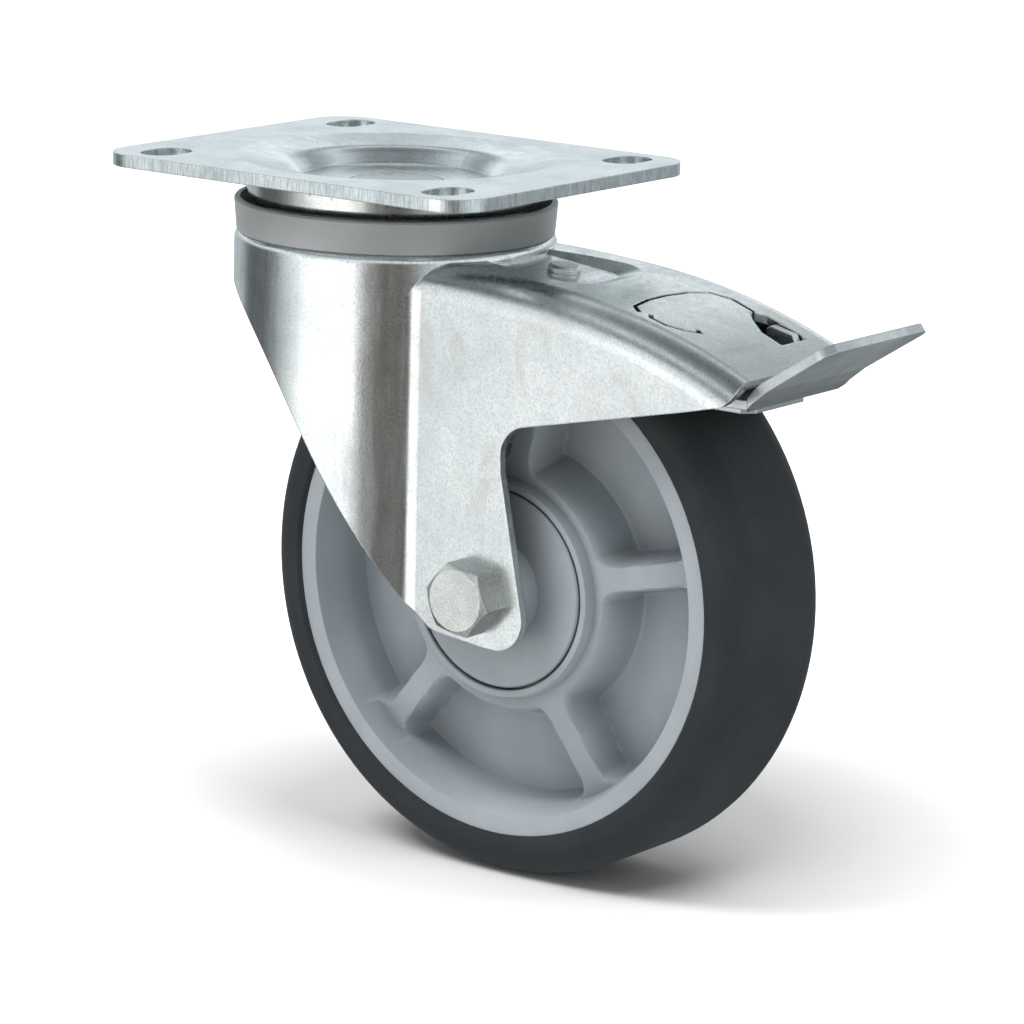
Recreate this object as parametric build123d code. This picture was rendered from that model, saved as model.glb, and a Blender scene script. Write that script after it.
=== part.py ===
from build123d import *
import math
import os

# Swivel castor with a foot brake, in millimetres.
# The origin is the centre of the top face of the mounting plate and +Z is up.
# The axle lies along X and the wheel trails towards -Y, where the pedal is.
# Side profiles are written as (reach, z), where reach is the distance towards -Y.

# Mounting plate
plateLength = 126.5
plateWidth = 105.5
plateThick = 3.5
plateCorner = 11.0
slotWidth = 11.0
slotLength = 16.0
slotSpacingX = 80.0
slotSpacingY = 98.0
recessRim = 44.0
recessWallTop = 32.0
recessWallFoot = 28.0
recessDepth = 6.6
recessShoulder = 1.4

# Swivel head
pinRadius = 9.0
pinHeadRadius = 13.2
pinFootRadius = 13.0
pinFootThick = 2.4
cupRadius = 41.9
cupWall = 3.0
cupCorner = 4.0
upperBallRadius = 3.97
upperBallPitch = 33.0
upperBallCount = 24
lowerBallRadius = 3.175
lowerBallPitch = 17.0
lowerBallCount = 16
grooveDepth = 0.6
ballPlay = 0.05
lowerCupThick = 3.0
lowerCupRadius = 21.6
lockSkirt = 1.5
lockRadius = 29.0
lockThick = 1.7
lockToothDepth = 2.0
lockToothInner = 25.4
lockToothCount = 24
lockGap = 0.5

# Dust ring
ringTopRadius = 44.6
ringBottomRadius = 43.9
ringWall = 1.6
ringTop = -11.4
ringBottom = -20.3

# Pressed fork
sheet = 2.5
drumRadius = 44.5
drumShoulder = 3.0
crownTop = -19.9
crownHole = 11.5
legOuter = 31.5
legBlend = 6.0
hoodShoulder = 9.0
hoodProfile = [(-48, -22.3), (30, -22.3), (45, -22.7), (61, -23.6), (78, -25.2), (98, -28.7),
               (117, -34.1), (140, -44.0)]
hoodEnd = 134.6
skirtEnd = (133.6, -47.0)
archCorner = (61.2, -63.4)
archRadius = 9.0
legKnee = (61.8, -75.0)
legFront = (72.0, -124.2)
legFrontRadius = 9.0
legHeel = (39.5, -121.8)
legHeelRadius = 8.0
diagonal = [(31.0, -115.6), (23.5, -103.8), (9.7, -81.0), (-4.1, -58.9), (-18.4, -42.8),
            (-30.0, -35.6), (-40.0, -33.2), (-48.0, -32.6)]
pocketFloor = (50.0, -24.2)
pocketSlope = 6.3
pocketHalfWidth = 11.5
pocketReach = 70.5
pocketSpread = 7.5
pocketDepth = 2.6
cutWidth = 1.3
farCut = [(97.2, -19.9), (93.6, -17.0), (91.8, -8.2), (91.6, 0.0), (92.6, 9.0), (95.2, 15.0),
          (101.0, 17.2), (109.5, 15.6)]
nearCut = [(99.6, -18.0), (101.2, -20.2), (106.3, -20.4), (110.2, -17.8), (112.8, -14.4), (110.9, -13.2)]
window = [(108.4, 14.4), (112.2, 17.7), (125.2, 17.7), (125.2, 5.4), (118.4, 5.9), (112.6, 10.2)]

# Axle and wheel
axleReach = 53.0
axleZ = -110.0
boltRadius = 6.0
boltFlats = 19.0
boltHead = 7.5
boltTail = 2.5
nutHeight = 12.0
holePlay = 0.2
wheelRadius = 80.0
tyreHalf = 21.25
tyreShoulder = 9.4
tyreSeat = 66.0
lipOuter = 68.2
lipInner = 63.1
lipHalf = 20.3
lipWidth = 4.0
barrelFoot = 59.8
webHalf = 3.0
hubRadius = 29.8
hubHalf = 20.4
hubRoot = 33.0
ribFootHub = 16.0
ribFootRim = 9.0
ribCount = 5
ribThick = 7.5
ribAngle = 12.0
pocketCorner = 8.0

# Ball bearings of the wheel
bearingBore = 10.0
bearingOuter = 23.5
bearingWidth = 14.0
bearingInnerShoulder = 14.2
bearingOuterShoulder = 19.3
bearingPitch = 16.75
bearingBallRadius = 3.97
bearingBallCount = 8
bearingInset = 3.6
cageInner = 16.0
cageOuter = 17.5
cageHalf = 5.2
cagePlay = 0.13
guardRadius = 27.2
guardGap = 0.7
guardThick = 2.3
guardPlay = 0.3
guardSleeve = 14.0

# Brake
leafThick = 1.5
leafGap = 1.5
leafHalf = 14.0
leafTip = 27.5
leafTipHalf = 9.0
leafEnd = 129.0
leafSeat = 0.02
leafPlay = 0.3
leafHinge = 52.8
rivetTail = 0.6
rivetReach = 57.6
rivetRadius = 2.5
rivetHeadRadius = 4.5
rivetHead = 2.0
pivotReach = 120.5
pivotZ = -45.5
pivotRadius = 2.5
lugInner = 18.2
lugThick = 2.5
lugRadius = 5.2
pedalThick = 2.5
earInner = 14.5
earTop = -34.6
earNearTop = -41.6
neckHalf = 17.0
neckUnder = -50.5
neckStart = 115.8
treadRoot = (135.4, -47.4)
treadTip = (159.4, -31.0)
treadRootHalf = 22.9
treadTipHalf = 24.5
treadCorner = 4.0


def place(reach, x=0.0, z=0.0):
    return Pos(x, -reach, z)


def sideFace(points):
    return make_face(Polyline(*[(-r, z) for r, z in points], close=True))


def sidePrism(face, half):
    return extrude(Plane.YZ * face, amount=half, both=True)


def hexPrism(flats, height, chamferSize):
    body = extrude(RegularPolygon(flats / 2, 6, major_radius=False), amount=height)
    corner = flats / math.sqrt(3)
    cone = revolve(Plane.XZ * make_face(Polyline(
        (0, 0), (corner + 1, 0), (corner + 1, height - chamferSize * 0.6),
        (flats / 2 - 0.4, height), (0, height), close=True)), Axis.Z)
    return body & cone


def turned(points):
    return revolve(Plane.XZ * make_face(Polyline(*points, close=True)), Axis.Z)


def ontoAxle(shape, direction=1):
    return place(axleReach, 0, axleZ) * Rot(0, 90 * direction, 0) * shape


def save(shape, name):
    export_step(shape, f"parts/{name}.step")


def nearVertices(face, point, tolerance=0.6):
    return [v for v in face.vertices() if math.hypot(v.X - point[0], v.Y - point[1]) < tolerance]


# Mounting plate with its pressed recess
recess = make_face(Polyline(
    (0, 1), (0, -recessDepth), (recessWallFoot, -recessDepth), (recessWallTop, -recessShoulder - 0.8),
    (recessRim, 0), (recessRim, 1), close=True))
recess = fillet(nearVertices(recess, (recessWallFoot, -recessDepth)), 2.0)
recess = fillet(nearVertices(recess, (recessWallTop, -recessShoulder - 0.8)), 5.0)
recessTool = revolve(Plane.XZ * recess, Axis.Z)
bulge = make_face(Polyline(
    (0, 0), (0, -recessDepth - plateThick), (recessWallFoot - 1.0, -recessDepth - plateThick),
    (recessWallTop + 1.2, -recessShoulder - plateThick - 0.6), (recessRim, -plateThick),
    (recessRim, 0), close=True))
bulge = fillet(nearVertices(bulge, (recessWallFoot - 1.0, -recessDepth - plateThick)), 4.0)
bulgeTool = revolve(Plane.XZ * bulge, Axis.Z)
slots = Sketch() + [Pos(sx * slotSpacingX / 2, sy * slotSpacingY / 2)
                    * SlotOverall(slotLength, slotWidth) for sx in (-1, 1) for sy in (-1, 1)]
plateFlat = extrude(RectangleRounded(plateWidth, plateLength, plateCorner) - slots, amount=-plateThick)
topPlate = plateFlat + bulgeTool - recessTool
headHole = Cylinder(pinHeadRadius, 2.0, align=(Align.CENTER, Align.CENTER, Align.MIN))
topPlate -= Pos(0, 0, -recessDepth - 1.4) * headHole
topPlate -= Pos(0, 0, -20) * Cylinder(pinRadius, 40)

# Bearing levels, from the crown of the fork upwards and downwards
cupUnder = -recessDepth - plateThick - cupWall
upperBallZ = cupUnder + grooveDepth - ballPlay - upperBallRadius
crownUnder = crownTop - sheet
lowerBallZ = crownUnder + grooveDepth - ballPlay - lowerBallRadius
lowerCupTop = lowerBallZ - lowerBallRadius - ballPlay + grooveDepth
lowerCupUnder = lowerCupTop - lowerCupThick
upperGroove = Pos(0, 0, upperBallZ) * Torus(upperBallPitch, upperBallRadius + ballPlay)
lowerGroove = Pos(0, 0, lowerBallZ) * Torus(lowerBallPitch, lowerBallRadius + ballPlay)

# Upper bearing cup, welded under the plate
cup = make_face(Polyline(
    (pinRadius, cupUnder), (cupRadius - 1.2, cupUnder), (cupRadius, 0), (cupRadius - cupWall, 0),
    (cupRadius - cupWall - 1.2, cupUnder + cupWall), (pinRadius, cupUnder + cupWall), close=True))
cup = fillet(nearVertices(cup, (cupRadius - 1.2, cupUnder)), cupCorner)
headCup = revolve(Plane.XZ * cup, Axis.Z) - upperGroove
headCup -= plateFlat + bulgeTool

# King pin, its head flush in the recess and its foot riveted under the lower cup
kingPin = turned([
    (0, -recessDepth - 0.1), (pinHeadRadius - 0.5, -recessDepth - 0.1), (pinHeadRadius, -recessDepth - 0.5),
    (pinHeadRadius, -recessDepth - 1.4), (pinRadius, -recessDepth - 1.4), (pinRadius, lowerCupUnder),
    (pinFootRadius, lowerCupUnder), (pinFootRadius - 1.2, lowerCupUnder - pinFootThick),
    (0, lowerCupUnder - pinFootThick)])

lowerCup = turned([
    (pinRadius, lowerCupTop), (lowerCupRadius, lowerCupTop), (lowerCupRadius, lowerCupUnder),
    (pinRadius, lowerCupUnder)]) - lowerGroove

# Toothed ring of the swivel lock, pressed over the lower cup
lockTop = crownUnder - lockGap
lockRing = turned([
    (lowerCupRadius, lockTop), (lockRadius, lockTop), (lockRadius, lockTop - lockThick),
    (lowerCupRadius + lockSkirt, lockTop - lockThick), (lowerCupRadius + lockSkirt, lowerCupUnder),
    (lowerCupRadius, lowerCupUnder)])
lockPitch = 2 * math.pi * (lockRadius + lockToothInner) / 2 / lockToothCount
tooth = Pos((lockRadius + lockToothInner) / 2, 0, lockTop - lockThick - lockToothDepth / 2 + 0.1) * Box(
    lockRadius - lockToothInner, lockPitch / 2, lockToothDepth + 0.2)
teethShell = Pos(0, 0, lockTop - 4) * (Cylinder(lockRadius, 12) - Cylinder(lockToothInner, 12))
for index in range(lockToothCount):
    lockRing += (Rot(0, 0, (index + 0.5) * 360 / lockToothCount) * tooth) & teethShell


def ballRow(radius, pitch, count, z):
    return Compound(children=[
        Rot(0, 0, index * 360 / count) * Pos(pitch, 0, z) * Sphere(radius) for index in range(count)])


upperBalls = ballRow(upperBallRadius, upperBallPitch, upperBallCount, upperBallZ)
lowerBalls = ballRow(lowerBallRadius, lowerBallPitch, lowerBallCount, lowerBallZ)


# Pressed fork: an outer form less the same form set in by the sheet
def forkForm(inset):
    radius = drumRadius - inset
    half = legOuter - inset
    tail = Pos(0, -(hoodEnd + 10) / 2) * Rectangle(2 * half, hoodEnd + 10)
    plan = Circle(radius) + tail
    corners = [v for v in plan.vertices() if abs(abs(v.X) - half) < 0.01 and abs(v.Y) < radius]
    plan = fillet(corners, legBlend + inset)
    profile = [(r, z - inset) for r, z in hoodProfile]
    under = make_face([
        Spline(*[(-r, z) for r, z in profile]),
        Polyline((-profile[-1][0], profile[-1][1]), (-profile[-1][0], -140), (-profile[0][0], -140),
                 (-profile[0][0], profile[0][1]))])
    body = extrude(plan, amount=-140) & sidePrism(under, 80)
    rim = [e for e in body.edges() if e.center().Z > -50 and e.length > 2
           and abs(e.center().Y + hoodEnd + 10) > 1]
    return fillet(rim, hoodShoulder - inset)


def pocketForm(inset):
    floor = Plane(origin=(0, -pocketFloor[0], pocketFloor[1] - inset),
                  x_dir=(1, 0, 0), z_dir=(0, -math.sin(math.radians(pocketSlope)),
                                          math.cos(math.radians(pocketSlope))))
    length = pocketReach - pocketFloor[0] + 20
    low = floor * (Pos(0, -length / 2 + 20) * RectangleRounded(2 * pocketHalfWidth, length, 6))
    high = floor.offset(pocketDepth) * (Pos(0, -length / 2 + 20) * RectangleRounded(
        2 * (pocketHalfWidth + pocketSpread), length + 2 * pocketSpread, 6 + pocketSpread))
    return loft([low.face(), high.face()])


def drumForm(inset):
    body = Pos(0, 0, crownTop - inset) * Cylinder(
        drumRadius - inset, 120, align=(Align.CENTER, Align.CENTER, Align.MAX))
    return fillet(body.edges().sort_by(Axis.Z)[-1], drumShoulder - inset if inset else drumShoulder)


outline = make_face([
    Polyline((48, 0), (-hoodEnd, 0), (-hoodEnd, -42.6), (-skirtEnd[0], skirtEnd[1]),
             (-120.2, -50.3), (-archCorner[0], archCorner[1]), (-legKnee[0], legKnee[1]),
             (-legFront[0], legFront[1]), (-57.0, -123.6), (-legHeel[0], legHeel[1]),
             (-diagonal[0][0], diagonal[0][1])),
    Spline(*[(-r, z) for r, z in diagonal]),
    Line((-diagonal[-1][0], diagonal[-1][1]), (48, 0))])
for corner, radius in ((archCorner, archRadius), (legFront, legFrontRadius), (legHeel, legHeelRadius),
                       (skirtEnd, 5.0)):
    outline = fillet(nearVertices(outline, (-corner[0], corner[1])), radius)


def seatUnder(reach):
    slope = math.tan(math.radians(pocketSlope))
    return pocketFloor[1] - slope * (reach - pocketFloor[0]) - sheet / math.cos(math.radians(pocketSlope))


def planCut(points, width):
    return extrude(Pos(0, 0, -50) * trace(Polyline(*[(x, -r) for r, x in points]), width), amount=40)


rivetPlace = place(rivetReach, 0, seatUnder(rivetReach)) * Rot(pocketSlope, 0, 0)
outerForm = forkForm(0) - pocketForm(0) + drumForm(0)
innerForm = forkForm(sheet) - pocketForm(sheet) + drumForm(sheet)
fork = (outerForm - innerForm) & sidePrism(outline, 80)
for side in (-1, 1):
    lug = sidePrism(sideFace([(pivotReach - lugRadius, -30), (pivotReach + lugRadius, -30),
                              (pivotReach + lugRadius, pivotZ), (pivotReach - lugRadius, pivotZ)]),
                    lugThick / 2)
    lug += place(pivotReach, 0, pivotZ) * Rot(0, 90, 0) * Cylinder(lugRadius, lugThick)
    fork += (Pos(side * (lugInner + lugThick / 2), 0, 0) * lug) & innerForm
fork -= planCut(farCut, cutWidth) + planCut(nearCut, cutWidth)
windowFace = make_face(Polyline(*[(x, -r) for r, x in window], close=True))
fork -= extrude(Pos(0, 0, -50) * fillet(windowFace.vertices(), 0.8), amount=40)
fork -= Cylinder(crownHole, 80)
fork -= upperGroove + lowerGroove
fork -= ontoAxle(Cylinder(boltRadius + holePlay, 100))
fork -= rivetPlace * Cylinder(rivetRadius, 20)
fork -= place(pivotReach, 0, pivotZ) * Rot(0, 90, 0) * Cylinder(pivotRadius, 50)

# Dust ring, moulded, seated on the shoulder of the fork
dustRing = turned([
    (ringTopRadius - 0.4, ringTop), (ringTopRadius, ringTop - 0.5), (ringBottomRadius, ringBottom),
    (ringBottomRadius - ringWall, ringBottom), (ringTopRadius - ringWall, ringTop)]) - outerForm

# Axle
axleBolt = Pos(0, 0, -legOuter) * Rot(180, 0, 0) * hexPrism(boltFlats, boltHead, 1.6)
shankLength = 2 * legOuter + nutHeight + boltTail
shank = Pos(0, 0, -legOuter) * Cylinder(
    boltRadius, shankLength, align=(Align.CENTER, Align.CENTER, Align.MIN))
axleBolt = ontoAxle(axleBolt + chamfer(shank.edges().sort_by(Axis.Z)[-1], 1.0))
axleNut = Pos(0, 0, legOuter) * (hexPrism(boltFlats, nutHeight, 1.6) - Cylinder(boltRadius, 60))
axleNut = ontoAxle(axleNut)
tubeBore = boltRadius + 0.15
legInner = legOuter - sheet
axleTube = ontoAxle(Cylinder(bearingBore, 2 * legInner) + Cylinder(guardSleeve - 1, 2 * bearingInset)
                    - Cylinder(tubeBore, 80))

# Thread guards between hub and legs
guardOut = hubHalf
guardIn = guardOut - guardThick
bearingOut = bearingInset + bearingWidth


def bothSides(shape):
    return Compound(children=[ontoAxle(shape, 1), ontoAxle(shape, -1)])


guard = turned([
    (bearingBore, bearingOut), (guardSleeve, bearingOut), (guardSleeve, guardIn), (guardRadius - 0.3, guardIn),
    (guardRadius, guardIn + 0.3), (guardRadius, guardOut - 0.5), (guardRadius - 0.5, guardOut),
    (guardSleeve, guardOut), (guardSleeve - 0.6, legInner), (bearingBore, legInner)])
threadGuards = bothSides(guard)

# Bearings
bearingZ = bearingInset + bearingWidth / 2
raceGroove = Pos(0, 0, bearingZ) * Torus(bearingPitch, bearingBallRadius + ballPlay)
innerRing = turned([
    (bearingBore, bearingInset), (bearingInnerShoulder, bearingInset), (bearingInnerShoulder, bearingOut),
    (bearingBore, bearingOut)]) - raceGroove
outerRing = turned([
    (bearingOuterShoulder, bearingInset), (bearingOuter, bearingInset), (bearingOuter, bearingOut),
    (bearingOuterShoulder, bearingOut)]) - raceGroove
innerRings = bothSides(innerRing)
outerRings = bothSides(outerRing)
bearingSeats = [Rot(0, 0, index * 360 / bearingBallCount) * Pos(bearingPitch, 0, bearingZ)
                for index in range(bearingBallCount)]
bearingBalls = Compound(children=[
    ontoAxle(seat * Sphere(bearingBallRadius), side) for side in (1, -1) for seat in bearingSeats])
cage = Pos(0, 0, bearingZ) * (Cylinder(cageOuter, 2 * cageHalf) - Cylinder(cageInner, 2 * cageHalf))
for seat in bearingSeats:
    cage -= seat * Rot(0, 90, 0) * Cylinder(bearingBallRadius + cagePlay, 6)
bearingCages = bothSides(cage)

# Moulded rim
hubRecess = guardRadius + guardGap
guardFloor = guardIn - guardPlay
half = [
    (bearingOuter - 3, 0), (bearingOuter - 3, bearingInset), (bearingOuter, bearingInset),
    (bearingOuter, guardFloor), (hubRecess, guardFloor), (hubRecess, hubHalf), (hubRadius, hubHalf),
    (hubRoot, ribFootHub), (barrelFoot, ribFootRim), (lipInner, lipHalf), (lipOuter, lipHalf),
    (lipOuter, lipHalf - lipWidth), (tyreSeat, lipHalf - lipWidth - 2.0), (tyreSeat, 4.0), (lipOuter, 2.5),
    (lipOuter, 0)]
rimSection = make_face(Polyline(*half, *[(r, -z) for r, z in reversed(half[1:-1])], close=True))
soft = []
for sign in (-1, 1):
    soft += nearVertices(rimSection, (hubRoot, sign * ribFootHub))
    soft += nearVertices(rimSection, (barrelFoot, sign * ribFootRim))
rimSection = fillet(soft, 3.0)
soft = []
for sign in (-1, 1):
    soft += nearVertices(rimSection, (lipInner, sign * lipHalf))
    soft += nearVertices(rimSection, (lipOuter, sign * lipHalf))
    soft += nearVertices(rimSection, (hubRadius, sign * hubHalf))
rimSection = fillet(soft, 0.6)
rim = revolve(Plane.XZ * rimSection, Axis.Z)


def pocketFace(inner, outer, rib, corner):
    span = 180 / ribCount
    innerAngle = math.degrees(math.asin(rib / 2 / inner))
    outerAngle = math.degrees(math.asin(rib / 2 / outer))

    def polar(radius, angle):
        return (radius * math.cos(math.radians(angle)), radius * math.sin(math.radians(angle)))
    a0, a1 = innerAngle, 2 * span - innerAngle
    b0, b1 = outerAngle, 2 * span - outerAngle
    face = make_face([
        ThreePointArc(polar(inner, a0), polar(inner, span), polar(inner, a1)),
        Line(polar(inner, a1), polar(outer, b1)),
        ThreePointArc(polar(outer, b1), polar(outer, span), polar(outer, b0)),
        Line(polar(outer, b0), polar(inner, a0))])
    return fillet(face.vertices(), corner)


pocketLow = pocketFace(hubRoot + 1.0, barrelFoot - 0.8, ribThick + 2.0, pocketCorner)
pocketHigh = pocketFace(hubRoot - 0.6, barrelFoot + 0.9, ribThick - 0.8, pocketCorner)
pocket = loft([Pos(0, 0, webHalf) * pocketLow, Pos(0, 0, ribFootHub + 1) * pocketHigh])
for index in range(ribCount):
    for flip in (0, 1):
        turn = Rot(0, 0, index * 360 / ribCount)
        rim -= (turn * pocket) if flip == 0 else (turn * mirror(pocket, Plane.XY))
rim = ontoAxle(Rot(0, 0, ribAngle) * rim)

# Rubber tyre, moulded over the rim
tyreFace = make_face([
    Polyline((lipOuter, -lipHalf), (lipOuter, -lipHalf + lipWidth), (tyreSeat, -lipHalf + lipWidth + 2.0),
             (tyreSeat, -4.0), (lipOuter, -2.5), (lipOuter, 2.5), (tyreSeat, 4.0),
             (tyreSeat, lipHalf - lipWidth - 2.0), (lipOuter, lipHalf - lipWidth), (lipOuter, lipHalf),
             (lipOuter + 1.2, tyreHalf), (wheelRadius, tyreHalf), (wheelRadius, -tyreHalf),
             (lipOuter + 1.2, -tyreHalf), (lipOuter, -lipHalf))])
tyreFace = fillet(nearVertices(tyreFace, (wheelRadius, tyreHalf))
                  + nearVertices(tyreFace, (wheelRadius, -tyreHalf)), tyreShoulder)
tyre = ontoAxle(revolve(Plane.XZ * tyreFace, Axis.Z))

# Brake leaf, riveted under the hood and pressed down by the pedal
leafArc = wheelRadius + leafGap


def arcPoint(reach, radius):
    return (reach, axleZ + math.sqrt(radius ** 2 - (reach - axleReach) ** 2))


seatLine = [(leafTip, seatUnder(50) - 1.9), (48.0, seatUnder(48) - 0.5), (leafHinge, seatUnder(leafHinge) - leafSeat),
            (70.0, seatUnder(70) - leafSeat)]
arcTop = [arcPoint(r, leafArc + leafThick) for r in (80.0, 88.0, 96.0, 104.0)]
tail = [(113.6, neckUnder - 0.4), (leafEnd, neckUnder - 0.4)]
leafLine = seatLine + arcTop + tail
leafLower = [(r, z - leafThick) for r, z in seatLine] + [
    arcPoint(r, leafArc) for r in (79.6, 87.3, 95.0, 102.6)] + [
    (112.8, neckUnder - 0.4 - leafThick), (leafEnd, neckUnder - 0.4 - leafThick)]
leafPlan = make_face(Polyline(
    (-leafTipHalf, -leafTip), (leafTipHalf, -leafTip), (leafTipHalf, -44), (leafHalf, -52),
    (leafHalf, -leafEnd + 3), (leafHalf - 3, -leafEnd), (3 - leafHalf, -leafEnd), (-leafHalf, -leafEnd + 3),
    (-leafHalf, -52), (-leafTipHalf, -44), close=True))
brakeLeaf = sidePrism(sideFace(leafLine + leafLower[::-1]), leafHalf)
brakeLeaf &= extrude(Pos(0, 0, -60) * leafPlan, amount=50)
for x in (-4.5, 0, 4.5):
    brakeLeaf -= place(leafTip, x, -28) * Box(1.8, 5, 6)
brakeLeaf -= rivetPlace * Cylinder(rivetRadius + leafPlay / 2, 20)

# Rivet of the leaf, its tail flat under the leaf
rivetUnder = -leafThick - leafPlay
leafRivet = rivetPlace * turned([
    (0, sheet + rivetHead), (rivetHeadRadius - 0.8, sheet + rivetHead),
    (rivetHeadRadius, sheet + rivetHead - 0.8), (rivetHeadRadius, sheet), (rivetRadius, sheet),
    (rivetRadius, rivetUnder), (rivetHeadRadius - 0.6, rivetUnder),
    (rivetHeadRadius - 1.2, rivetUnder - rivetTail), (0, rivetUnder - rivetTail)])

# Pivot pin of the pedal
pivotHalf = lugInner + lugThick + 0.8
pedalPin = place(pivotReach, 0, pivotZ) * Rot(0, 90, 0) * chamfer(
    Cylinder(pivotRadius, 2 * pivotHalf).edges().filter_by(GeomType.CIRCLE), 0.5)

# Pedal: neck, two ears on the pivot, and the wide tread
tiltCos = treadTip[0] - treadRoot[0]
tiltSin = treadTip[1] - treadRoot[1]
tiltLength = math.hypot(tiltCos, tiltSin)
normal = (-tiltSin / tiltLength, tiltCos / tiltLength)
lower = [(neckStart, neckUnder), (129.5, neckUnder), (133.0, -49.9), treadRoot, (140.0, -43.6), treadTip]
upper = [(treadTip[0] + normal[0] * pedalThick, treadTip[1] + normal[1] * pedalThick),
         (139.6 + normal[0] * pedalThick, -43.5 + normal[1] * pedalThick),
         (133.2, -46.4), (131.6, -47.6), (129.0, neckUnder + pedalThick), (neckStart, neckUnder + pedalThick)]
pedalSide = sideFace(lower + upper)
pedalPlan = make_face(Polyline(
    (-neckHalf, -neckStart), (neckHalf, -neckStart), (neckHalf, -130.5), (treadRootHalf, -134.0),
    (treadTipHalf, -170), (-treadTipHalf, -170), (-treadRootHalf, -134.0), (-neckHalf, -130.5), close=True))
pedal = sidePrism(pedalSide, 40) & extrude(Pos(0, 0, -60) * pedalPlan, amount=50)
tipEdges = [e for e in pedal.edges() if -e.center().Y > treadTip[0] - 4
            and abs(abs(e.center().X) - treadTipHalf) < 1.5 and e.length < 2 * pedalThick]
pedal = fillet(tipEdges, treadCorner)
for side, top in ((-1, earNearTop), (1, earTop)):
    ear = sideFace([(neckStart, neckUnder), (127.0, neckUnder), (125.6, -43.0), (122.4, top - 1.4),
                    (121.4, top - 1.2), (115.4, top + 0.2), (114.2, top - 0.6), (114.4, -44.0)])
    pedal += Pos(side * (earInner + pedalThick / 2), 0, 0) * sidePrism(ear, pedalThick / 2)
pedal -= place(pivotReach, 0, pivotZ) * Rot(0, 90, 0) * Cylinder(pivotRadius + ballPlay, 50)

os.makedirs("parts", exist_ok=True)
save(topPlate, "top_plate")
save(headCup, "head_cup")
save(kingPin, "king_pin")
save(lowerCup, "lower_cup")
save(lockRing, "lock_ring")
save(upperBalls, "upper_balls")
save(lowerBalls, "lower_balls")
save(fork, "fork")
save(dustRing, "dust_ring")
save(axleBolt, "axle_bolt")
save(axleNut, "axle_nut")
save(axleTube, "axle_tube")
save(threadGuards, "thread_guards")
save(innerRings, "bearing_inner_rings")
save(outerRings, "bearing_outer_rings")
save(bearingBalls, "bearing_balls")
save(bearingCages, "bearing_cages")
save(rim, "rim")
save(tyre, "tyre")
save(brakeLeaf, "brake_leaf")
save(leafRivet, "leaf_rivet")
save(pedalPin, "pedal_pin")
save(pedal, "pedal")
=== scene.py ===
import math

import bmesh
import bpy
from mathutils import Matrix, Vector


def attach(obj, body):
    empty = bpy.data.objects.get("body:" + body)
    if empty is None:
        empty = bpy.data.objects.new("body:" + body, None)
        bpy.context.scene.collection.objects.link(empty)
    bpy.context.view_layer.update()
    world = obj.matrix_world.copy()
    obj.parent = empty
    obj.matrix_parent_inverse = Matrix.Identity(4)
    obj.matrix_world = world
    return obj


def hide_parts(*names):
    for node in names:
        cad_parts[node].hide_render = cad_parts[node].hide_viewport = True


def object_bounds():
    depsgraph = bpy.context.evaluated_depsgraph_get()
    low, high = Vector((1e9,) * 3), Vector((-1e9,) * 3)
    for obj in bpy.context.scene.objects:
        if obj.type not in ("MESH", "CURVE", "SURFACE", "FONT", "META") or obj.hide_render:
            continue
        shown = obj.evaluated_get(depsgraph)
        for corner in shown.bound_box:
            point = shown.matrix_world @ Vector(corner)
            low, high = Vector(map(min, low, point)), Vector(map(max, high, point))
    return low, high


# Swivel castor with a foot brake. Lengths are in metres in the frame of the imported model:
# the origin is the centre of the plate's top face, +Z is up and the wheel trails towards -Y.
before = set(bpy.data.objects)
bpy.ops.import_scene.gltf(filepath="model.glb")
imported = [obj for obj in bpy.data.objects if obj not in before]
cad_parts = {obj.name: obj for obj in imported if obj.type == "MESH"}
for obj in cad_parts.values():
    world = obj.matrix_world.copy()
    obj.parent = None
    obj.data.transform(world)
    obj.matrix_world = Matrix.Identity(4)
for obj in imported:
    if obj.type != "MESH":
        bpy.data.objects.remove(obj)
lowAtStart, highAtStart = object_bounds()
print("stage: frame loaded with", len(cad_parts), "nodes")

mm = 0.001


def linear(hexText, strength=1.0):
    channels = [int(hexText[i:i + 2], 16) / 255 for i in (1, 3, 5)]
    straight = [c / 12.92 if c <= 0.04045 else ((c + 0.055) / 1.055) ** 2.4 for c in channels]
    return tuple(c * strength for c in straight) + (1.0,)


def add(tree, kind, settings=None, links=None):
    # Adds one shader node, sets its sockets, properties or ramp stops, and joins what feeds it
    node = tree.nodes.new("ShaderNode" + kind)
    for key, value in (settings or {}).items():
        if key == "stops":
            ramp = node.color_ramp.elements
            ramp[0].position, ramp[0].color = value[0]
            ramp[-1].position, ramp[-1].color = value[-1]
            for position, color in value[1:-1]:
                ramp.new(position).color = color
        elif isinstance(key, int) or key in node.inputs:
            node.inputs[key].default_value = value
        else:
            setattr(node, key, value)
    for key, source in (links or {}).items():
        tree.links.new(source, node.inputs[key])
    return node


def newMaterial(name):
    material = bpy.data.materials.new(name)
    material.use_nodes = True
    material.node_tree.nodes.clear()
    return material, material.node_tree


def dress(material, *nodeNames):
    for nodeName in nodeNames:
        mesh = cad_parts[nodeName].data
        mesh.materials.clear()
        mesh.materials.append(material)


def direction(azimuth, elevation):
    # Towards a lamp or the camera: azimuth 0 is towards -Y and 90 is towards +X
    turn = math.radians(azimuth)
    rise = math.radians(elevation)
    return Vector((math.sin(turn) * math.cos(rise), -math.cos(turn) * math.cos(rise), math.sin(rise)))


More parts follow.
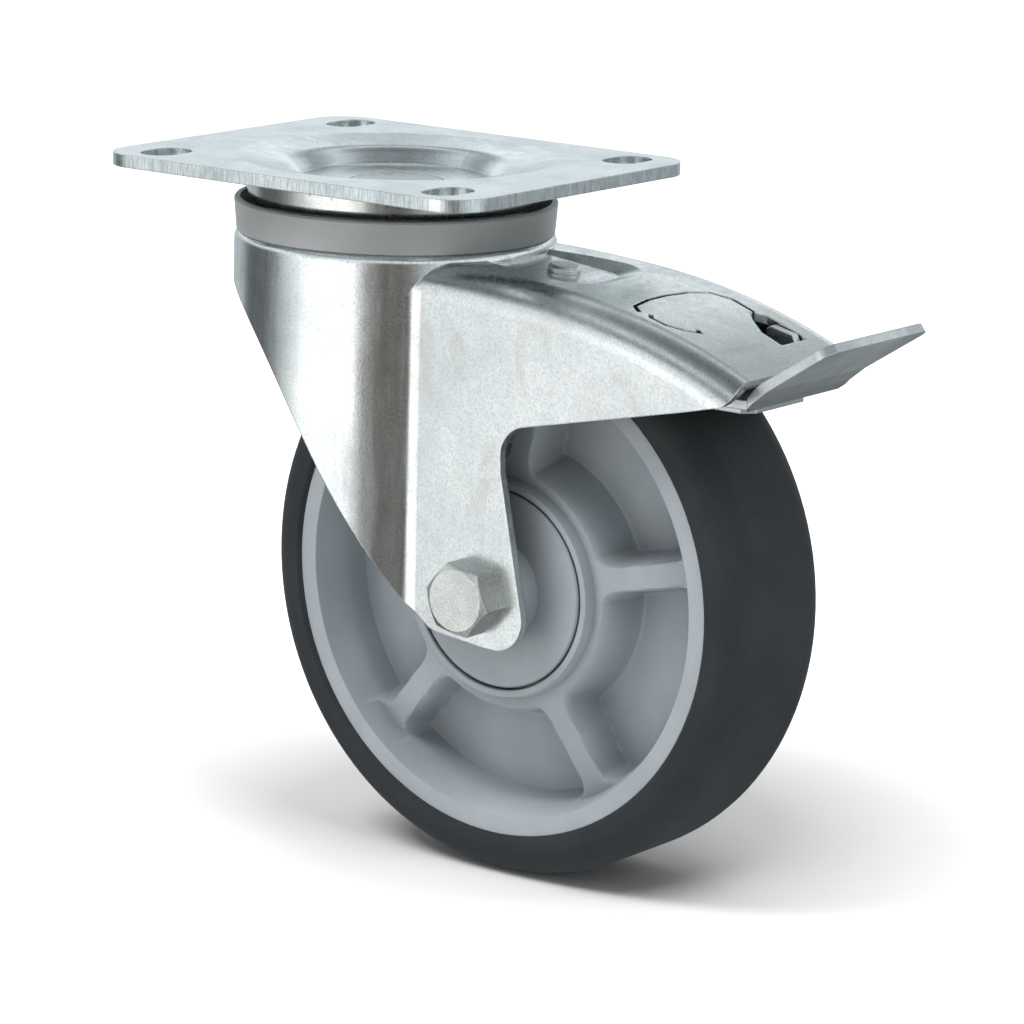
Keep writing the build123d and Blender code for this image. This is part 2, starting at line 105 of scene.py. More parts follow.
# Zinc plated steel: the plating is bright and faintly blue, clouded in soft patches with a few warm
# stains; the rolled grain below it gives a fine speckle, drawn streaks break up the highlights, and a
# painted highlight lightens the rounded edges
zincNoise = {
    "cloud": {"Detail": 5.0, "Roughness": 0.62, "Distortion": 0.5},
    "stain": {"Detail": 4.0, "Roughness": 0.7, "Distortion": 1.2},
    "grain": {"Detail": 2.0, "Roughness": 0.6},
    "streak": {"Detail": 4.0, "Roughness": 0.6},
    "wave": {"Detail": 1.5, "Roughness": 0.5},
    "scratch": {"Detail": 2.0, "Roughness": 0.4},
}
zincBand = {                                          # where each pattern starts and where it is full
    "cloud": (0.36, 0.64), "stain": (0.54, 0.70), "grain": (0.42, 0.68), "pit": (0.20, 0.06),
    "edgeHighlight": (0.995, 0.90), "streakRough": (0.3, 0.7), "cloudRough": (0.35, 0.65), "scratchFade": 0.03,
    "shearLean": (0.35, 0.15), "shear": (0.42, 0.62),
}
cloudRoughness = (-0.03, 0.05)
edgeSamples = 6


def zincPlatedSteel(name, look):
    material, tree = newMaterial(name)
    here = add(tree, "TexCoord").outputs["Object"]
    place = {key: here for key in zincNoise}
    place["streak"] = add(tree, "Mapping", {"Scale": look["streakStretch"]}, {"Vector": here}).outputs[0]
    place["scratch"] = add(tree, "Mapping", {"Scale": look["scratchStretch"],
                                             "Rotation": look["scratchTurn"]}, {"Vector": here}).outputs[0]
    value = {}
    for key, settings in zincNoise.items():
        value[key] = add(tree, "TexNoise", dict(settings, Scale=1 / (look[key + "Mm"] * mm)),
                         {"Vector": place[key]}).outputs["Fac"]
    value["pit"] = add(tree, "TexVoronoi", {"Scale": 1 / (look["pitMm"] * mm)},
                       {"Vector": here}).outputs["Distance"]
    # The bevelled normal rounds the sharp edges; where it turns from the flat normal the colour is lightened
    # as a painted highlight
    rounded = add(tree, "Bevel", {"samples": edgeSamples, "Radius": look["edgeHighlightMm"] * mm}).outputs[0]
    flat = add(tree, "NewGeometry").outputs["Normal"]
    value["edgeHighlight"] = add(tree, "VectorMath", {"operation": "DOT_PRODUCT"},
                        {0: rounded, 1: flat}).outputs["Value"]

    share = {}
    for key in ("cloud", "stain", "grain", "pit", "edgeHighlight"):
        share[key] = add(tree, "MapRange", {"From Min": zincBand[key][0], "From Max": zincBand[key][1],
                                            "To Max": look[key + "Share"]}, {"Value": value[key]}).outputs[0]
    share["scratch"] = add(tree, "MapRange", {"From Min": look["scratchFrom"],
                                              "From Max": look["scratchFrom"] + zincBand["scratchFade"]},
                           {"Value": value["scratch"]}).outputs[0]

    color = add(tree, "Mix", {"data_type": "RGBA", 6: linear(look["light"]), 7: linear(look["dark"])},
                {0: share["cloud"]}).outputs[2]
    for key in ("stain", "grain", "pit", "scratch", "edgeHighlight"):
        color = add(tree, "Mix", {"data_type": "RGBA", 7: linear(look[key + "Color"])},
                    {0: share[key], 6: color}).outputs[2]

    streakRough = add(tree, "MapRange", {"From Min": zincBand["streakRough"][0],
                                         "From Max": zincBand["streakRough"][1],
                                         "To Min": look["roughLow"], "To Max": look["roughHigh"]},
                      {"Value": value["streak"]}).outputs[0]
    cloudRough = add(tree, "MapRange", {"From Min": zincBand["cloudRough"][0],
                                        "From Max": zincBand["cloudRough"][1],
                                        "To Min": cloudRoughness[0], "To Max": cloudRoughness[1]},
                     {"Value": value["cloud"]}).outputs[0]
    rough = add(tree, "Math", {"operation": "ADD"}, {0: streakRough, 1: cloudRough}).outputs[0]

    height = add(tree, "Math", {"operation": "MULTIPLY", 1: look["grainHeightMm"]},
                 {0: value["grain"]}).outputs[0]
    for source, rise in ((value["streak"], look["streakHeightMm"]), (value["wave"], look["waveHeightMm"]),
                         (share["scratch"], -look["scratchDepthMm"])):
        height = add(tree, "Math", {"operation": "MULTIPLY_ADD", 1: rise}, {0: source, 2: height}).outputs[0]

    if "shearMm" in look:
        # The sheared edge of thick sheet: upright tool marks on the faces that stand square to the sheet
        upright = add(tree, "Mapping", {"Scale": look["shearStretch"]}, {"Vector": here}).outputs[0]
        mark = add(tree, "TexNoise", {"Scale": 1 / (look["shearMm"] * mm), "Detail": 3.0, "Roughness": 0.65},
                   {"Vector": upright}).outputs["Fac"]
        square = add(tree, "TexCoord").outputs["Normal"]
        lean = add(tree, "SeparateXYZ", None, {0: square}).outputs[2]
        level = add(tree, "Math", {"operation": "ABSOLUTE"}, {0: lean}).outputs[0]
        sheared = add(tree, "MapRange", {"From Min": zincBand["shearLean"][0],
                                         "From Max": zincBand["shearLean"][1]}, {"Value": level}).outputs[0]
        markShare = add(tree, "MapRange", {"From Min": zincBand["shear"][0],
                                           "From Max": zincBand["shear"][1],
                                           "To Max": look["shearShare"]}, {"Value": mark}).outputs[0]
        shareHere = add(tree, "Math", {"operation": "MULTIPLY"}, {0: markShare, 1: sheared}).outputs[0]
        color = add(tree, "Mix", {"data_type": "RGBA", 7: linear(look["shearColor"])},
                    {0: shareHere, 6: color}).outputs[2]
        markRise = add(tree, "Math", {"operation": "MULTIPLY", 1: look["shearHeightMm"]},
                       {0: mark}).outputs[0]
        height = add(tree, "Math", {"operation": "MULTIPLY_ADD"},
                     {0: markRise, 1: sheared, 2: height}).outputs[0]
        rough = add(tree, "Math", {"operation": "MULTIPLY_ADD", 1: look["shearRough"]},
                    {0: sheared, 2: rough}).outputs[0]
    bump = add(tree, "Bump", {"Strength": 1.0, "Distance": mm},
               {"Height": height, "Normal": rounded}).outputs[0]
    shader = add(tree, "BsdfPrincipled", {"Metallic": 1.0},
                 {"Base Color": color, "Roughness": rough, "Normal": bump})
    add(tree, "OutputMaterial", None, {"Surface": shader.outputs[0]})
    return material


# Deep drawn sheet with bright plating: long vertical streaks in the highlights and slow waves in the sheet
forkZinc = {
    "light": "#dde0e0", "dark": "#cbd0d1", "cloudMm": 24.0, "cloudShare": 1.0,
    "stainColor": "#b9afa2", "stainMm": 38.0, "stainShare": 0.45,
    "grainMm": 0.6, "grainShare": 0.50, "grainColor": "#aab0b0", "grainHeightMm": 0.010,
    "streakMm": 2.4, "streakStretch": (1.0, 1.0, 0.10), "streakHeightMm": 0.010,  # drawn down over the punch
    "roughLow": 0.17, "roughHigh": 0.30,
    "waveMm": 14.0, "waveHeightMm": 0.07,
    "pitMm": 2.2, "pitShare": 0.2, "pitColor": "#7f8484",
    "scratchMm": 1.4, "scratchStretch": (1.0, 0.05, 1.0), "scratchTurn": (0.5, 0.2, 0.3),
    "scratchFrom": 0.79, "scratchColor": "#8b8f8f", "scratchDepthMm": 0.006,
    # edge rounding, and the painted highlight along the rounded edges
    "edgeHighlightMm": 0.5, "edgeHighlightShare": 0.5, "edgeHighlightColor": "#e6e8e8",
}
dress(zincPlatedSteel("zinc_plated_pressed_steel", forkZinc), "fork")

# Blanked thick sheet: flatter and a little bluer, with the dull upright marks of the shear on its rim
plateZinc = dict(
    forkZinc, light="#e4ebec", dark="#d0d8da", cloudMm=16.0, stainShare=0.15, grainMm=0.7, grainShare=0.30,
    streakStretch=(1.0, 0.12, 1.0), streakMm=1.8, roughLow=0.18, roughHigh=0.30, waveMm=20.0,
    waveHeightMm=0.08, edgeHighlightMm=0.45, shearMm=0.45, shearStretch=(1.0, 1.0, 0.10), shearShare=0.50,
    shearColor="#8d9294", shearHeightMm=0.06, shearRough=0.08,
)
dress(zincPlatedSteel("zinc_plated_blanked_plate", plateZinc), "top_plate")

# Bent sheet of the pedal and the leaf: greyer plating with softer highlights
pedalZinc = dict(
    forkZinc, light="#d3d6d6", dark="#bcc0c1", stainShare=0.25, roughLow=0.26, roughHigh=0.40,
    streakStretch=(1.0, 0.15, 1.0), streakMm=1.8,
)
dress(zincPlatedSteel("zinc_plated_sheet_steel", pedalZinc), "pedal", "brake_leaf")

# Drawn cup of the swivel head: slightly warm, and pitted where the balls' grease has held dust
cupZinc = dict(
    forkZinc, light="#d4d6d3", dark="#b9bbb8", stainShare=0.3, roughLow=0.18, roughHigh=0.30, edgeHighlightMm=0.3,
    pitShare=0.8, pitMm=3.0,
)
dress(zincPlatedSteel("zinc_plated_drawn_cup", cupZinc), "head_cup", "king_pin")

# Forged bolt: dull, grainy plating in all directions, with no drawn streaks and hardly a scratch
boltZinc = dict(
    forkZinc, light="#e9ebe8", dark="#d3d5d2", stainColor="#9a948a", grainMm=0.5, grainShare=0.5,
    grainColor="#8e8f8b", grainHeightMm=0.02, streakStretch=(1.0, 1.0, 1.0), roughLow=0.30, roughHigh=0.42,
    waveMm=6.0, waveHeightMm=0.02, edgeHighlightMm=0.4, scratchFrom=0.95,
)
boltSteel = zincPlatedSteel("zinc_plated_forged_bolt", boltZinc)
dress(boltSteel, "axle_bolt", "axle_nut", "leaf_rivet", "pedal_pin")

# Hardened and ground bearing steel: darker, even, without plating
raceSteel = dict(
    forkZinc, light="#a9aaaa", dark="#8e8f8f", stainShare=0.1, roughLow=0.22, roughHigh=0.34,
    waveHeightMm=0.0, pitShare=0.0, edgeHighlightMm=0.2,
)
dress(zincPlatedSteel("hardened_race_steel", raceSteel), "lower_cup", "lock_ring", "bearing_inner_rings",
      "bearing_outer_rings", "axle_tube", "bearing_cages")

# Lapped balls: nearly a mirror
ballSteel = dict(
    raceSteel, light="#c9cbcb", dark="#bcbebe", roughLow=0.06, roughHigh=0.12, grainHeightMm=0.0,
    streakHeightMm=0.0, grainShare=0.1,
)
dress(zincPlatedSteel("polished_ball_steel", ballSteel), "upper_balls", "lower_balls", "bearing_balls")

# Moulded plastic or rubber: one even colour with a faint cloud from the melt and the fine skin of the mould;
# some looks add painted shade in hemmed-in corners
mouldBand = {"cloud": (0.36, 0.64), "skin": (0.40, 0.70), "paintedShade": (0.95, 0.45), "rough": (0.35, 0.65)}


def mouldedPlastic(name, look):
    material, tree = newMaterial(name)
    here = add(tree, "TexCoord").outputs["Object"]
    cloud = add(tree, "TexNoise", {"Scale": 1 / (look["cloudMm"] * mm), "Detail": 4.0, "Roughness": 0.6,
                                   "Distortion": 0.4}, {"Vector": here}).outputs["Fac"]
    skin = add(tree, "TexNoise", {"Scale": 1 / (look["skinMm"] * mm), "Detail": 2.0, "Roughness": 0.6},
               {"Vector": here}).outputs["Fac"]
    cloudShare = add(tree, "MapRange", {"From Min": mouldBand["cloud"][0],
                                        "From Max": mouldBand["cloud"][1]}, {"Value": cloud}).outputs[0]
    skinShare = add(tree, "MapRange", {"From Min": mouldBand["skin"][0], "From Max": mouldBand["skin"][1],
                                       "To Max": look["skinShare"]}, {"Value": skin}).outputs[0]
    clouded = add(tree, "Mix", {"data_type": "RGBA", 6: linear(look["light"]), 7: linear(look["dark"])},
                  {0: cloudShare}).outputs[2]
    color = add(tree, "Mix", {"data_type": "RGBA", 7: linear(look["skinColor"])},
                {0: skinShare, 6: clouded}).outputs[2]
    if "paintedShadeShare" in look:
        # Painted shade: darker where ambient occlusion finds the surface hemmed in, as in the corners of the
        # pockets
        openness = add(tree, "AmbientOcclusion", {"samples": edgeSamples,
                                                  "Distance": look["paintedShadeMm"] * mm}).outputs["AO"]
        paintedShade = add(tree, "MapRange", {"From Min": mouldBand["paintedShade"][0], "From Max": mouldBand["paintedShade"][1],
                                      "To Max": look["paintedShadeShare"]}, {"Value": openness}).outputs[0]
        color = add(tree, "Mix", {"data_type": "RGBA", 7: linear(look["paintedShadeColor"])},
                    {0: paintedShade, 6: color}).outputs[2]
    rough = add(tree, "MapRange", {"From Min": mouldBand["rough"][0], "From Max": mouldBand["rough"][1],
                                   "To Min": look["roughLow"], "To Max": look["roughHigh"]},
                {"Value": cloud}).outputs[0]
    height = add(tree, "Math", {"operation": "MULTIPLY", 1: look["skinHeightMm"]}, {0: skin}).outputs[0]
    rounded = add(tree, "Bevel", {"samples": edgeSamples, "Radius": look["edgeHighlightMm"] * mm}).outputs[0]
    bump = add(tree, "Bump", {"Strength": 1.0, "Distance": mm},
               {"Height": height, "Normal": rounded}).outputs[0]
    shader = add(tree, "BsdfPrincipled", {"Specular IOR Level": look["specular"]},
                 {"Base Color": color, "Roughness": rough, "Normal": bump})
    add(tree, "OutputMaterial", None, {"Surface": shader.outputs[0]})
    return material


# Grey moulded nylon: cool, satin and hardly clouded, with painted shade in the pockets' corners
rimPlastic = {
    "light": "#b5bdc2", "dark": "#abb3b8", "cloudMm": 30.0,
    "skinMm": 0.5, "skinShare": 0.30, "skinColor": "#9ea6ab", "skinHeightMm": 0.012,
    "roughLow": 0.40, "roughHigh": 0.50, "specular": 0.5, "edgeHighlightMm": 0.4,
    # painted shade: how far the occlusion reaches, how much it darkens, and its colour
    "paintedShadeMm": 16.0, "paintedShadeShare": 0.55, "paintedShadeColor": "#585d64",
}
rimNylon = mouldedPlastic("grey_moulded_nylon", rimPlastic)
dress(rimNylon, "rim", "thread_guards")

# The dust ring's plastic: neutral and a little glossier than the wheel's
ringPlastic = {
    "light": "#b4b8b7", "dark": "#acb0af", "cloudMm": 30.0,
    "skinMm": 0.5, "skinShare": 0.30, "skinColor": "#a0a4a3", "skinHeightMm": 0.012,
    "roughLow": 0.34, "roughHigh": 0.42, "specular": 0.5, "edgeHighlightMm": 0.4,
}
dress(mouldedPlastic("grey_moulded_ring_plastic", ringPlastic), "dust_ring")

# Moulded rubber: dark grey and softly matt
tyreRubber = {
    "light": "#36393c", "dark": "#303336", "cloudMm": 40.0,
    "skinMm": 0.4, "skinShare": 0.5, "skinColor": "#202224", "skinHeightMm": 0.03,
    "roughLow": 0.58, "roughHigh": 0.70, "specular": 0.3, "edgeHighlightMm": 0.5,
}
dress(mouldedPlastic("dark_grey_moulded_rubber", tyreRubber), "tyre")
print("stage: materials dressed")

# The wheel body as it is moulded: drafted ribs that flare into the hub and the barrel, with round pockets
# between them. It stands for the plainer solid and keeps its seats for the bearings, guards and tyre.
wheel = {
    "axle": (0.0, -53.0, -110.0),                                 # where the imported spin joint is
    "boreRadius": 20.5, "seatRadius": 23.5, "seatInset": 3.6,     # seats of the two ball bearings
    "guardFloor": 17.8, "guardWall": 27.9, "chamfer": 0.3,        # the hub caps lie in here
    "hubRadius": 29.8, "hubHalf": 20.4, "hubStep": 0.9,
    "ribTopHub": 17.3, "hubRoot": 33.0, "ribTopRim": 13.0, "ribOnBarrel": 61.2,
    "lipInner": 63.1, "lipOuter": 68.2, "lipHalf": 20.3, "lipWidth": 4.0, "lipRound": (0.4, 0.2),
    "tyreSeat": 66.0, "seatSlope": 2.0, "keyHalf": 4.0, "keySlope": 1.5,    # the key holds the tyre sideways
    "webHalf": 4.0, "ribCount": 5, "ribAngle": 12.0, "ribHalf": 3.1, "wallWidth": 2.6,
    "pocketCorner": 5.5, "hubCorner": 3.3, "hubFlare": 0.55,
    "stepsPerPocket": 64, "crowding": 0.62, "ringStep": 0.62, "sharpFrom": 35,
}


def roundedMin(a, b, corner):
    if a < corner and b < corner:
        return corner - math.hypot(corner - a, corner - b)
    return min(a, b)


def ribTop(radius):
    line = [(wheel["hubRadius"], wheel["hubHalf"]),
            (wheel["hubRadius"] + wheel["hubStep"], wheel["ribTopHub"]),
            (wheel["hubRoot"], wheel["ribTopHub"]), (wheel["ribOnBarrel"], wheel["ribTopRim"]),
            (wheel["lipInner"], wheel["lipHalf"]), (wheel["lipOuter"], wheel["lipHalf"])]
    for (r0, h0), (r1, h1) in zip(line, line[1:]):
        if radius <= r1:
            return h0 + (h1 - h0) * max(0.0, radius - r0) / (r1 - r0)
    return line[-1][1]


def faceHeight(radius, fromRib):
    # How far the face stands from the wheel's middle plane, at an angle from the nearest rib's centre line
    top = ribTop(radius)
    if not wheel["hubRoot"] < radius < wheel["ribOnBarrel"]:
        return top
    flank = abs(radius * math.sin(fromRib)) - wheel["ribHalf"]
    hub = (radius - wheel["hubRoot"]) * wheel["hubFlare"]
    barrel = wheel["ribOnBarrel"] - radius
    inside = roundedMin(roundedMin(flank, barrel, wheel["pocketCorner"]), hub, wheel["hubCorner"])
    share = min(1.0, max(0.0, inside / wheel["wallWidth"]))
    return top - (top - wheel["webHalf"]) * share * share * (3 - 2 * share)


def latheGrid(name, body, rings, material, replaced, sharpFrom):
    # Joins rings of equal length, each a closed loop round the axle, to one closed skin
    count = len(rings[0])
    points = [point for ring in rings for point in ring]
    faces = []
    for i in range(len(rings) - 1):
        for j in range(count):
            k = (j + 1) % count
            faces.append((i * count + j, i * count + k, (i + 1) * count + k, (i + 1) * count + j))
    mesh = bpy.data.meshes.new(name)
    mesh.from_pydata(points, [], faces)
    skin = bmesh.new()
    skin.from_mesh(mesh)
    bmesh.ops.remove_doubles(skin, verts=skin.verts, dist=0.002 * mm)
    bmesh.ops.recalc_face_normals(skin, faces=skin.faces)
    skin.to_mesh(mesh)
    skin.free()
    mesh.shade_smooth()
    mesh.set_sharp_from_angle(angle=math.radians(sharpFrom))
    mesh.materials.append(material)
    piece = bpy.data.objects.new(name, mesh)
    bpy.context.scene.collection.objects.link(piece)
    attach(piece, body)
    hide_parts(replaced)


def onAxle(along, radius, turn):
    x, y, z = wheel["axle"]
    return (along * mm, (y - radius * math.cos(turn)) * mm, (z + radius * math.sin(turn)) * mm)


def wheelRings():
    w = wheel
    span = 2 * math.pi / w["ribCount"]
    angles = []
    for rib in range(w["ribCount"]):
        for step in range(w["stepsPerPocket"]):
            t = 2 * step / w["stepsPerPocket"] - 1
            crowded = math.copysign(abs(t) ** w["crowding"], t)       # closer together at the ribs
            angles.append((rib + 0.5) * span + 0.5 * span * crowded)
    fromRib = [abs((angle + 0.5 * span) % span - 0.5 * span) for angle in angles]
    turns = [angle + math.radians(w["ribAngle"]) for angle in angles]

    steps = round((w["ribOnBarrel"] - w["hubRoot"]) / w["ringStep"])
    radii = [w["hubRadius"], w["hubRadius"] + w["hubStep"], w["hubRoot"]]
    radii += [w["hubRoot"] + (w["ribOnBarrel"] - w["hubRoot"]) * i / steps for i in range(1, steps + 1)]
    radii += [w["lipInner"] - w["lipRound"][0], w["lipInner"] + w["lipRound"][1],
              w["lipOuter"] - w["chamfer"], w["lipOuter"]]
    bore = [(w["boreRadius"], 0.0), (w["boreRadius"], w["seatInset"]), (w["seatRadius"], w["seatInset"]),
            (w["seatRadius"], w["guardFloor"]), (w["guardWall"], w["guardFloor"]),
            (w["guardWall"], w["hubHalf"] - w["chamfer"]), (w["guardWall"] + w["chamfer"], w["hubHalf"])]
    lipFoot = w["lipHalf"] - w["lipWidth"]
    seat = [(w["lipOuter"], lipFoot), (w["tyreSeat"], lipFoot - w["seatSlope"]),
            (w["tyreSeat"], w["keyHalf"]), (w["lipOuter"], w["keyHalf"] - w["keySlope"]),
            (w["lipOuter"], 0.0)]

    halves = []
    for side in (1, -1):
        half = [[onAxle(side * h, r, turn) for turn in turns] for r, h in bore]
        half += [[onAxle(side * faceHeight(r, away), r, turn) for away, turn in zip(fromRib, turns)]
                 for r in radii]
        half += [[onAxle(side * h, r, turn) for turn in turns] for r, h in seat]
        halves.append(half)
    return halves[0] + halves[1][::-1]


latheGrid("wheel_body", "wheel", wheelRings(), rimNylon, "rim", wheel["sharpFrom"])

# The axle bolt: a forged hexagon with a turned land and chamfer, a plain shank and a rolled thread
bolt = {
    "flats": 18.0, "turn": -10.5, "headBase": -31.5, "headHeight": 7.5, "land": 8.4, "chamfer": 30.0,
    "radius": 6.0, "end": 46.0, "endChamfer": 0.9, "pitch": 1.75, "threadDepth": 0.55, "threadFrom": 28.0,
    "around": 96, "alongStep": 0.22, "capCentre": 0.001, "sharpFrom": 18,
}


def boltRings():
    b = bolt
    turns = [2 * math.pi * i / b["around"] + math.radians(b["turn"]) for i in range(b["around"])]
    top = b["headBase"] - b["headHeight"]
    hexagon = []
    for i in range(b["around"]):
        fromFlat = (2 * math.pi * i / b["around"]) % (math.pi / 3) - math.pi / 6
        hexagon.append(b["flats"] / 2 / math.cos(fromFlat))
    slope = math.tan(math.radians(b["chamfer"]))
    rings = [[onAxle(top, b["capCentre"], t) for t in turns], [onAxle(top, b["land"], t) for t in turns],
             [onAxle(top + (r - b["land"]) * slope, r, t) for r, t in zip(hexagon, turns)],
             [onAxle(b["headBase"], r, t) for r, t in zip(hexagon, turns)],
             [onAxle(b["headBase"], b["radius"], t) for t in turns]]
    steps = round((b["end"] - b["threadFrom"]) / b["alongStep"])
    for i in range(steps + 1):
        x = b["threadFrom"] + (b["end"] - b["threadFrom"]) * i / steps
        limit = b["radius"] - max(0.0, b["endChamfer"] - (b["end"] - x))
        ring = []
        for j, t in enumerate(turns):
            phase = (x / b["pitch"] + j / b["around"]) % 1.0
            ring.append(onAxle(x, min(limit, b["radius"] - b["threadDepth"] * abs(2 * phase - 1)), t))
        rings.append(ring)
    rings.append([onAxle(b["end"], b["capCentre"], t) for t in turns])
    return rings


latheGrid("hexagon_bolt", "fork", boltRings(), boltSteel, "axle_bolt", bolt["sharpFrom"])
print("stage: wheel body and bolt made")

# The plain white floor keeps the object's shadow; away from the object the camera sees it lifted to white
paper = {
    "half": 12.0, "color": "#f8f8f8", "shadowAt": (28.0, -30.0),
    "lift": 0.0, "farLift": 0.75, "near": 0.07, "far": 0.19,      # metres from the middle of the shadow
}
half = paper["half"]
level = lowAtStart[2]                                             # the tyre stands on it
floorMesh = bpy.data.meshes.new("floor")
corners = [(-half, -half, level), (half, -half, level), (half, half, level), (-half, half, level)]
floorMesh.from_pydata(corners, [], [(0, 1, 2, 3)])
floor = bpy.data.objects.new("floor", floorMesh)
bpy.context.scene.collection.objects.link(floor)
floor.visible_glossy = False                                      # the studio below mirrors in its place
floorMaterial, floorTree = newMaterial("white_studio_paper")
matt = add(floorTree, "BsdfDiffuse", {"Color": linear(paper["color"])}).outputs[0]
seen = add(floorTree, "LightPath").outputs["Is Camera Ray"]
here = add(floorTree, "TexCoord").outputs["Object"]
shadowX, shadowY = paper["shadowAt"]
spot = add(floorTree, "Mapping", {"Location": (-shadowX * mm, -shadowY * mm, -level)},
           {"Vector": here}).outputs[0]
away = add(floorTree, "VectorMath", {"operation": "LENGTH"}, {0: spot}).outputs["Value"]
share = add(floorTree, "MapRange", {"From Min": paper["near"], "From Max": paper["far"],
                                    "To Min": paper["lift"], "To Max": paper["farLift"]},
            {"Value": away}).outputs[0]
lift = add(floorTree, "Math", {"operation": "MULTIPLY"}, {0: seen, 1: share}).outputs[0]
lifted = add(floorTree, "Emission", None, {"Strength": lift}).outputs[0]
both = add(floorTree, "AddShader", None, {0: matt, 1: lifted}).outputs[0]
add(floorTree, "OutputMaterial", None, {"Surface": both})
floorMesh.materials.append(floorMaterial)

# The studio: white for the camera, an even soft fill for all shading, and for gloss the white sweep with the
# bright softbox and the dark gaps that zinc and steel mirror. The ring runs once around the object, and the
# heights go from straight down to straight up; each stop is a place, a colour and a strength.
studio = {
    "turn": 143.06,                                               # degrees, its middle is at the front
    "fill": 0.38, "fillColor": "#f6f7f8", "gloss": 1.6,
    "ring": [(0.000, "#a8afb2", 1.0), (0.125, "#a8afb2", 1.0), (0.140, "#54585a", 1.0),
             (0.235, "#5c6062", 1.0), (0.272, "#c0c4c4", 1.0), (0.296, "#dcdfdf", 1.0),
             (0.320, "#ffffff", 1.2), (0.425, "#ffffff", 1.2), (0.440, "#8a8a88", 1.0),
             (0.475, "#605d59", 1.0), (0.530, "#605d59", 1.0), (0.560, "#a0a4a6", 1.0),
             (0.640, "#e8ecee", 1.0), (0.720, "#e8ecee", 1.0), (0.760, "#868a8c", 1.0),
             (0.860, "#868a8c", 1.0), (0.900, "#a8afb2", 1.0), (1.000, "#a8afb2", 1.0)],
    "heights": [(0.00, "#9ea3a5", 1.0), (0.12, "#94999b", 1.0), (0.21, "#3e4142", 1.0),
                (0.26, "#3a3c3d", 1.0), (0.44, "#b8bec2", 1.0), (0.56, "#dbe2e5", 1.0),
                (0.70, "#d6dde0", 1.0), (0.80, "#74787a", 1.0), (0.86, "#9a9fa1", 1.0),
                (0.91, "#c4cacd", 1.0), (0.955, "#808486", 1.0), (1.00, "#5e6163", 1.0)],
    "ringBelow": (-0.54, -0.38), "ringAbove": (0.10, 0.26),       # how far up the ring fades in and out
}
world = bpy.data.worlds.new("studio")
bpy.context.scene.world = world
world.use_nodes = True
sky = world.node_tree
sky.nodes.clear()
toward = add(sky, "TexCoord").outputs["Generated"]
turned = add(sky, "Mapping", {"Rotation": (0.0, 0.0, math.radians(studio["turn"]))},
             {"Vector": toward}).outputs[0]
around = add(sky, "TexGradient", {"gradient_type": "RADIAL"}, {"Vector": turned}).outputs["Fac"]
ring = add(sky, "ValToRGB", {"stops": [(p, linear(c, s)) for p, c, s in studio["ring"]]},
           {"Fac": around}).outputs[0]
upness = add(sky, "SeparateXYZ", None, {0: toward}).outputs[2]
climb = add(sky, "MapRange", {"From Min": -1.0, "From Max": 1.0}, {"Value": upness}).outputs[0]
heights = add(sky, "ValToRGB", {"stops": [(p, linear(c, s)) for p, c, s in studio["heights"]]},
              {"Fac": climb}).outputs[0]
aboveLow = add(sky, "MapRange", {"From Min": studio["ringBelow"][0], "From Max": studio["ringBelow"][1]},
               {"Value": upness}).outputs[0]
belowHigh = add(sky, "MapRange", {"From Min": studio["ringAbove"][1], "From Max": studio["ringAbove"][0]},
                {"Value": upness}).outputs[0]
inRing = add(sky, "Math", {"operation": "MULTIPLY"}, {0: aboveLow, 1: belowHigh}).outputs[0]
mirrored = add(sky, "Mix", {"data_type": "RGBA"}, {0: inRing, 6: heights, 7: ring}).outputs[2]
rays = add(sky, "LightPath").outputs
gloss = add(sky, "Background", {"Strength": studio["gloss"]}, {"Color": mirrored}).outputs[0]
fill = add(sky, "Background", {"Color": linear(studio["fillColor"]), "Strength": studio["fill"]}).outputs[0]
white = add(sky, "Background", {"Color": (1, 1, 1, 1), "Strength": 1.0}).outputs[0]
shaded = add(sky, "MixShader", None, {0: rays["Is Glossy Ray"], 1: fill, 2: gloss}).outputs[0]
plain = add(sky, "Math", {"operation": "MAXIMUM"},
            {0: rays["Is Camera Ray"], 1: rays["Is Transmission Ray"]}).outputs[0]
allRays = add(sky, "MixShader", None, {0: plain, 1: shaded, 2: white}).outputs[0]
add(sky, "OutputWorld", None, {"Surface": allRays})

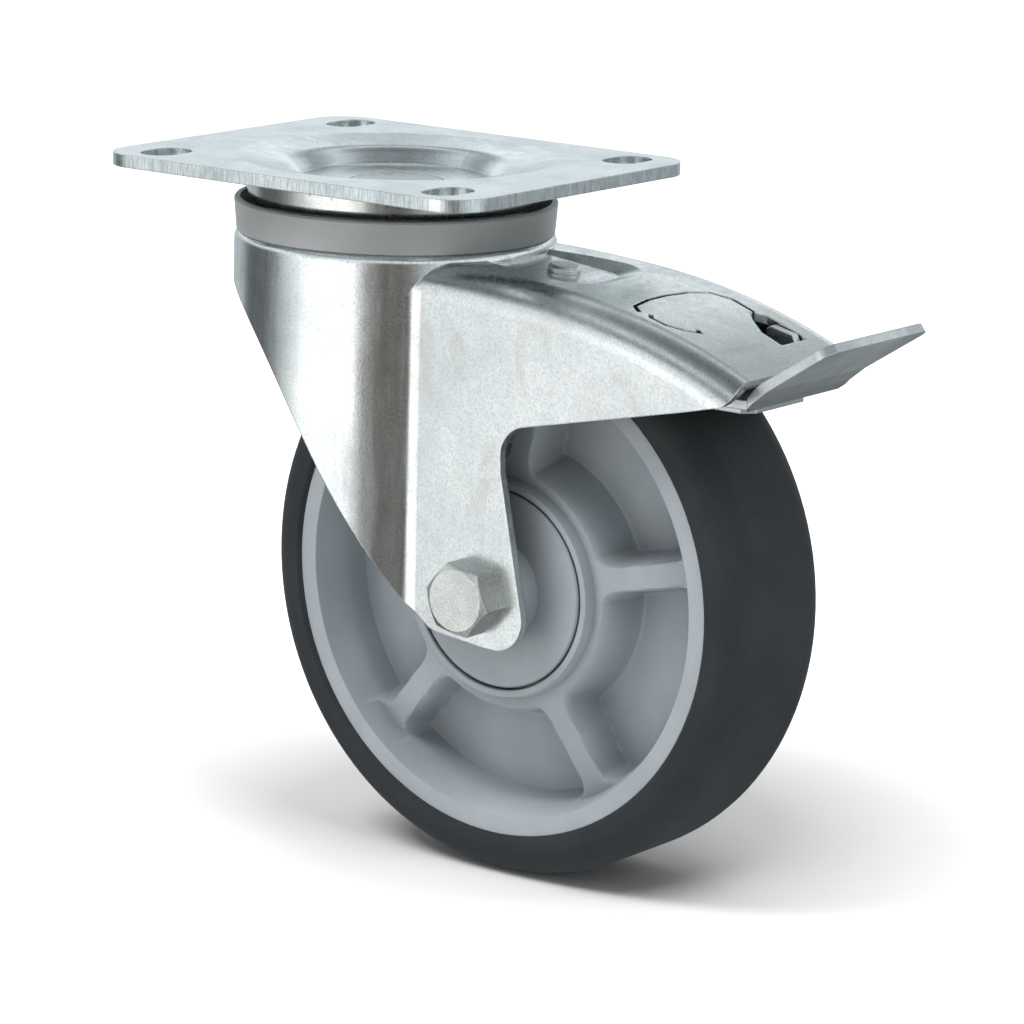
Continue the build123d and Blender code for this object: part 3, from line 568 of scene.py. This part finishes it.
# Two softboxes, left and right of the lens, and a weak one overhead from behind
aim = Vector((0.0, -30.0, -90.0)) * mm
lamps = {
    "left_softbox": {"azimuth": -125.0, "elevation": 56.0, "away": 1.3, "size": 0.5, "power": 9.0},
    "right_softbox": {"azimuth": -21.0, "elevation": 58.0, "away": 1.3, "size": 0.5, "power": 6.5},
    "top_softbox": {"azimuth": 120.0, "elevation": 76.0, "away": 1.2, "size": 0.9, "power": 1.5},
}
for lampName, lamp in lamps.items():
    data = bpy.data.lights.new(lampName, "AREA")
    data.shape = "SQUARE"
    data.size = lamp["size"]
    data.energy = lamp["power"]
    light = bpy.data.objects.new(lampName, data)
    outward = direction(lamp["azimuth"], lamp["elevation"])
    light.location = aim + outward * lamp["away"]
    light.rotation_mode = "QUATERNION"
    light.rotation_quaternion = outward.to_track_quat("Z", "Y")
    light.visible_glossy = False                                  # gloss mirrors the studio above instead
    bpy.context.scene.collection.objects.link(light)

# A long lens from the bolt's side, a little above the wheel and rolled by a degree as in the photograph
shot = {
    "location": (-1002.8, -796.6, 189.7), "azimuth": -53.05, "elevation": 12.73, "roll": 1.35,
    "focalPixels": 4700.0, "imagePixels": 1024, "sensorWidth": 36.0, "clip": (0.05, 60.0),
}
back = direction(shot["azimuth"], shot["elevation"])
turn = math.radians(shot["azimuth"])
roll = math.radians(shot["roll"])
right = Vector((math.cos(turn), math.sin(turn), 0))
up = back.cross(right)
rolledRight = math.cos(roll) * right + math.sin(roll) * up
rolledUp = -math.sin(roll) * right + math.cos(roll) * up
cameraData = bpy.data.cameras.new("camera")
cameraData.sensor_width = shot["sensorWidth"]
cameraData.lens = shot["sensorWidth"] * shot["focalPixels"] / shot["imagePixels"]
cameraData.clip_start, cameraData.clip_end = shot["clip"]
camera = bpy.data.objects.new("camera", cameraData)
camera.matrix_world = Matrix.Translation(Vector(shot["location"]) * mm) @ Matrix(
    (rolledRight, rolledUp, back)).transposed().to_4x4()
bpy.context.scene.collection.objects.link(camera)
bpy.context.scene.camera = camera
bpy.context.scene.view_settings.view_transform = "Standard"
print("stage: floor, light and camera set")
